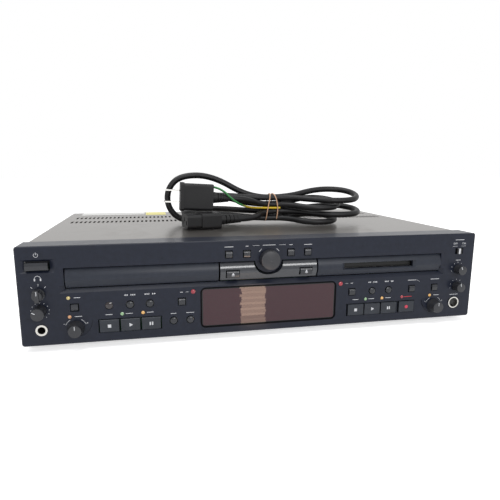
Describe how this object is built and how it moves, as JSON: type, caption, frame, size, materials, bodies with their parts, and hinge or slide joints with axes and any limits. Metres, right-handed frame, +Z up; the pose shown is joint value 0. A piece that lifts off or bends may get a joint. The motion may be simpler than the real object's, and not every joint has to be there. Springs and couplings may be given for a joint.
{
  "type": "minidisc deck",
  "caption": "Low rack-width deck with a compact-disc drawer, a minidisc slot, a dark display window, a central dial and push controls, with its mains lead tied on the cover.",
  "frame": {"origin": "on the floor, under the middle of the whole body", "axes": "+X to the right along the panel, +Y from the panel to the rear, +Z up"},
  "size_m": [0.438, 0.311, 0.1533],
  "materials": {
    "panel_plastic": "satin charcoal with a fine grain",
    "band_plastic": "smooth dark charcoal",
    "flap_plastic": "matt black",
    "window_tint": "polished smoky plum tint",
    "cover_paint": "satin bronze-charcoal paint",
    "chassis_steel": "plain plated sheet",
    "foot_rubber": "matt",
    "screw_steel": "blackened",
    "lamp_plastic": "clear tinted lenses: amber, green, red and a dark sensor",
    "socket_plastic": "black with bright metal rings",
    "board_plastic": "green board with its parts",
    "core_iron": "varnished laminations",
    "loader_plastic": "moulded",
    "drive_plastic": "plain casing",
    "tray_plastic": "moulded satin",
    "gear_plastic": "natural moulded",
    "button_plastic": "satin charcoal",
    "key_plastic": "satin charcoal",
    "knob_plastic": "satin, fine ribs on the side",
    "shaft_plastic": "moulded",
    "cord_rubber": "satin black",
    "plug_rubber": "moulded, satin"
  },
  "bodies": {
    "deck": {"cd_loader_frame": "loader_plastic", "centre_trim": "band_plastic", "chassis": "chassis_steel", "circuit_boards": "board_plastic", "display_window": "window_tint", "feet": "foot_rubber", "front_panel": "panel_plastic", "front_sockets": "socket_plastic", "lamp_lenses": "lamp_plastic", "md_drive": "drive_plastic", "md_plate": "band_plastic", "power_transformer": "core_iron", "rear_sockets": "socket_plastic", "screws": "screw_steel", "top_cover": "cover_paint"},
    "tray": {"cd_tray": "tray_plastic", "tray_front": "band_plastic"},
    "tray_gear": {"tray_gear": "gear_plastic"},
    "turntable": {"cd_turntable": "gear_plastic"},
    "pickup": {"cd_pickup": "loader_plastic"},
    "slot_flap": {"md_flap": "flap_plastic"},
    "power_button": {"power_button": "button_plastic"},
    "play_mode_slider": {"cont_play_slider": "button_plastic"},
    "jog_shaft": {"jog_shaft": "shaft_plastic"},
    "cd_pitch_shaft": {"cd_pitch_shaft": "shaft_plastic"},
    "md_pitch_shaft": {"md_pitch_shaft": "shaft_plastic"},
    "jog_dial": {"jog_dial": "knob_plastic"},
    "cd_pitch_knob": {"cd_pitch_knob": "knob_plastic"},
    "md_pitch_knob": {"md_pitch_knob": "knob_plastic"},
    "phones_source_knob": {"phones_source_knob": "knob_plastic"},
    "phones_level_knob": {"phones_level_knob": "knob_plastic"},
    "input_left_knob": {"input_left_knob": "knob_plastic"},
    "input_right_knob": {"input_right_knob": "knob_plastic"},
    "cd_menu_button": {"cd_menu_button": "button_plastic"},
    "no_button": {"no_button": "button_plastic"},
    "yes_button": {"yes_button": "button_plastic"},
    "md_menu_button": {"md_menu_button": "button_plastic"},
    "key_button": {"key_button": "button_plastic"},
    "cd_select_button": {"cd_select_button": "button_plastic"},
    "md_select_button": {"md_select_button": "button_plastic"},
    "dubbing_button": {"dubbing_button": "button_plastic"},
    "input_select_button": {"input_select_button": "button_plastic"},
    "cd_back_button": {"cd_back_button": "button_plastic"},
    "cd_forward_button": {"cd_forward_button": "button_plastic"},
    "time_button": {"time_button": "button_plastic"},
    "display_button": {"display_button": "button_plastic"},
    "md_back_button": {"md_back_button": "button_plastic"},
    "md_forward_button": {"md_forward_button": "button_plastic"},
    "open_close_button": {"open_close_button": "button_plastic"},
    "eject_button": {"eject_button": "button_plastic"},
    "cd_stop_key": {"cd_stop_key": "key_plastic"},
    "cd_play_key": {"cd_play_key": "key_plastic"},
    "cd_ready_key": {"cd_ready_key": "key_plastic"},
    "md_stop_key": {"md_stop_key": "key_plastic"},
    "md_play_key": {"md_play_key": "key_plastic"},
    "md_ready_key": {"md_ready_key": "key_plastic"},
    "record_key": {"record_key": "key_plastic"},
    "mains_lead": {"mains_cord": "cord_rubber", "mains_plug": "plug_rubber", "appliance_connector": "plug_rubber"}
  },
  "joints": [
    {"name": "tray_slide", "type": "slide", "parent": "deck", "child": "tray", "axis": [0, -1, 0], "range_m": [0, 0.135]},
    {"name": "tray_gear_spin", "type": "hinge", "parent": "deck", "child": "tray_gear", "pos_m": [-0.1548, -0.1015, 0.057], "axis": [0, 0, 1], "range_deg": [0, 970]},
    {"name": "turntable_spin", "type": "hinge", "parent": "deck", "child": "turntable", "pos_m": [-0.1138, -0.0715, 0.056], "axis": [0, 0, 1], "continuous": true},
    {"name": "pickup_slide", "type": "slide", "parent": "deck", "child": "pickup", "axis": [0, 1, 0], "range_m": [0, 0.033]},
    {"name": "slot_flap_hinge", "type": "hinge", "parent": "deck", "child": "slot_flap", "pos_m": [0.1136, -0.1363, 0.0691], "axis": [1, 0, 0], "range_deg": [0, 80], "stiffness_Nm_per_rad": 0.002, "springref_deg": -17.19},
    {"name": "power_button_push", "type": "slide", "parent": "deck", "child": "power_button", "axis": [0, 1, 0], "range_m": [0, 0.0025], "stiffness_N_per_m": 300, "springref_m": -0.002},
    {"name": "play_mode_slide", "type": "slide", "parent": "deck", "child": "play_mode_slider", "axis": [1, 0, 0], "range_m": [-0.0016, 0.0016]},
    {"name": "cd_menu_button_push", "type": "slide", "parent": "deck", "child": "cd_menu_button", "axis": [0, 1, 0], "range_m": [0, 0.0006], "stiffness_N_per_m": 300, "springref_m": -0.001},
    {"name": "no_button_push", "type": "slide", "parent": "deck", "child": "no_button", "axis": [0, 1, 0], "range_m": [0, 0.0006], "stiffness_N_per_m": 300, "springref_m": -0.001},
    {"name": "yes_button_push", "type": "slide", "parent": "deck", "child": "yes_button", "axis": [0, 1, 0], "range_m": [0, 0.0006], "stiffness_N_per_m": 300, "springref_m": -0.001},
    {"name": "md_menu_button_push", "type": "slide", "parent": "deck", "child": "md_menu_button", "axis": [0, 1, 0], "range_m": [0, 0.0006], "stiffness_N_per_m": 300, "springref_m": -0.001},
    {"name": "key_button_push", "type": "slide", "parent": "deck", "child": "key_button", "axis": [0, 1, 0], "range_m": [0, 0.0006], "stiffness_N_per_m": 300, "springref_m": -0.001},
    {"name": "cd_select_button_push", "type": "slide", "parent": "deck", "child": "cd_select_button", "axis": [0, 1, 0], "range_m": [0, 0.0006], "stiffness_N_per_m": 300, "springref_m": -0.001},
    {"name": "md_select_button_push", "type": "slide", "parent": "deck", "child": "md_select_button", "axis": [0, 1, 0], "range_m": [0, 0.0006], "stiffness_N_per_m": 300, "springref_m": -0.001},
    {"name": "dubbing_button_push", "type": "slide", "parent": "deck", "child": "dubbing_button", "axis": [0, 1, 0], "range_m": [0, 0.0006], "stiffness_N_per_m": 300, "springref_m": -0.001},
    {"name": "input_select_button_push", "type": "slide", "parent": "deck", "child": "input_select_button", "axis": [0, 1, 0], "range_m": [0, 0.0006], "stiffness_N_per_m": 300, "springref_m": -0.001},
    {"name": "cd_back_button_push", "type": "slide", "parent": "deck", "child": "cd_back_button", "axis": [0, 1, 0], "range_m": [0, 0.0006], "stiffness_N_per_m": 300, "springref_m": -0.001},
    {"name": "cd_forward_button_push", "type": "slide", "parent": "deck", "child": "cd_forward_button", "axis": [0, 1, 0], "range_m": [0, 0.0006], "stiffness_N_per_m": 300, "springref_m": -0.001},
    {"name": "time_button_push", "type": "slide", "parent": "deck", "child": "time_button", "axis": [0, 1, 0], "range_m": [0, 0.0006], "stiffness_N_per_m": 300, "springref_m": -0.001},
    {"name": "display_button_push", "type": "slide", "parent": "deck", "child": "display_button", "axis": [0, 1, 0], "range_m": [0, 0.0006], "stiffness_N_per_m": 300, "springref_m": -0.001},
    {"name": "md_back_button_push", "type": "slide", "parent": "deck", "child": "md_back_button", "axis": [0, 1, 0], "range_m": [0, 0.0006], "stiffness_N_per_m": 300, "springref_m": -0.001},
    {"name": "md_forward_button_push", "type": "slide", "parent": "deck", "child": "md_forward_button", "axis": [0, 1, 0], "range_m": [0, 0.0006], "stiffness_N_per_m": 300, "springref_m": -0.001},
    {"name": "open_close_button_push", "type": "slide", "parent": "deck", "child": "open_close_button", "axis": [0, 1, 0], "range_m": [0, 0.0006], "stiffness_N_per_m": 300, "springref_m": -0.001},
    {"name": "eject_button_push", "type": "slide", "parent": "deck", "child": "eject_button", "axis": [0, 1, 0], "range_m": [0, 0.0006], "stiffness_N_per_m": 300, "springref_m": -0.001},
    {"name": "cd_stop_key_push", "type": "slide", "parent": "deck", "child": "cd_stop_key", "axis": [0, 1, 0], "range_m": [0, 0.0006], "stiffness_N_per_m": 300, "springref_m": -0.001},
    {"name": "cd_play_key_push", "type": "slide", "parent": "deck", "child": "cd_play_key", "axis": [0, 1, 0], "range_m": [0, 0.0006], "stiffness_N_per_m": 300, "springref_m": -0.001},
    {"name": "cd_ready_key_push", "type": "slide", "parent": "deck", "child": "cd_ready_key", "axis": [0, 1, 0], "range_m": [0, 0.0006], "stiffness_N_per_m": 300, "springref_m": -0.001},
    {"name": "md_stop_key_push", "type": "slide", "parent": "deck", "child": "md_stop_key", "axis": [0, 1, 0], "range_m": [0, 0.0006], "stiffness_N_per_m": 300, "springref_m": -0.001},
    {"name": "md_play_key_push", "type": "slide", "parent": "deck", "child": "md_play_key", "axis": [0, 1, 0], "range_m": [0, 0.0006], "stiffness_N_per_m": 300, "springref_m": -0.001},
    {"name": "md_ready_key_push", "type": "slide", "parent": "deck", "child": "md_ready_key", "axis": [0, 1, 0], "range_m": [0, 0.0006], "stiffness_N_per_m": 300, "springref_m": -0.001},
    {"name": "record_key_push", "type": "slide", "parent": "deck", "child": "record_key", "axis": [0, 1, 0], "range_m": [0, 0.0006], "stiffness_N_per_m": 300, "springref_m": -0.001},
    {"name": "jog_shaft_push", "type": "slide", "parent": "deck", "child": "jog_shaft", "axis": [0, 1, 0], "range_m": [0, 0.0004], "stiffness_N_per_m": 500, "springref_m": -0.001},
    {"name": "jog_dial_turn", "type": "hinge", "parent": "jog_shaft", "child": "jog_dial", "pos_m": [0.0002, -0.144, 0.0755], "axis": [0, 1, 0], "continuous": true},
    {"name": "cd_pitch_shaft_push", "type": "slide", "parent": "deck", "child": "cd_pitch_shaft", "axis": [0, 1, 0], "range_m": [0, 0.0004], "stiffness_N_per_m": 500, "springref_m": -0.001},
    {"name": "cd_pitch_knob_turn", "type": "hinge", "parent": "cd_pitch_shaft", "child": "cd_pitch_knob", "pos_m": [-0.1738, -0.144, 0.02], "axis": [0, 1, 0], "continuous": true},
    {"name": "md_pitch_shaft_push", "type": "slide", "parent": "deck", "child": "md_pitch_shaft", "axis": [0, 1, 0], "range_m": [0, 0.0004], "stiffness_N_per_m": 500, "springref_m": -0.001},
    {"name": "md_pitch_knob_turn", "type": "hinge", "parent": "md_pitch_shaft", "child": "md_pitch_knob", "pos_m": [0.1762, -0.144, 0.02], "axis": [0, 1, 0], "continuous": true},
    {"name": "phones_source_knob_turn", "type": "hinge", "parent": "deck", "child": "phones_source_knob", "pos_m": [-0.202, -0.144, 0.0525], "axis": [0, 1, 0], "range_deg": [-30, 30]},
    {"name": "phones_level_knob_turn", "type": "hinge", "parent": "deck", "child": "phones_level_knob", "pos_m": [-0.202, -0.144, 0.0375], "axis": [0, 1, 0], "range_deg": [-150, 150]},
    {"name": "input_left_knob_turn", "type": "hinge", "parent": "deck", "child": "input_left_knob", "pos_m": [0.2012, -0.144, 0.057], "axis": [0, 1, 0], "range_deg": [-150, 150]},
    {"name": "input_right_knob_turn", "type": "hinge", "parent": "deck", "child": "input_right_knob", "pos_m": [0.2012, -0.144, 0.039], "axis": [0, 1, 0], "range_deg": [-150, 150]},
    {"name": "lead_lift", "type": "slide", "parent": "deck", "child": "mains_lead", "axis": [0, 0, 1], "range_m": [0, 0.08]}
  ],
  "couplings": [
    {"joint": "tray_gear_spin", "follows": "tray_slide", "rad_per_m": 125}
  ]
}
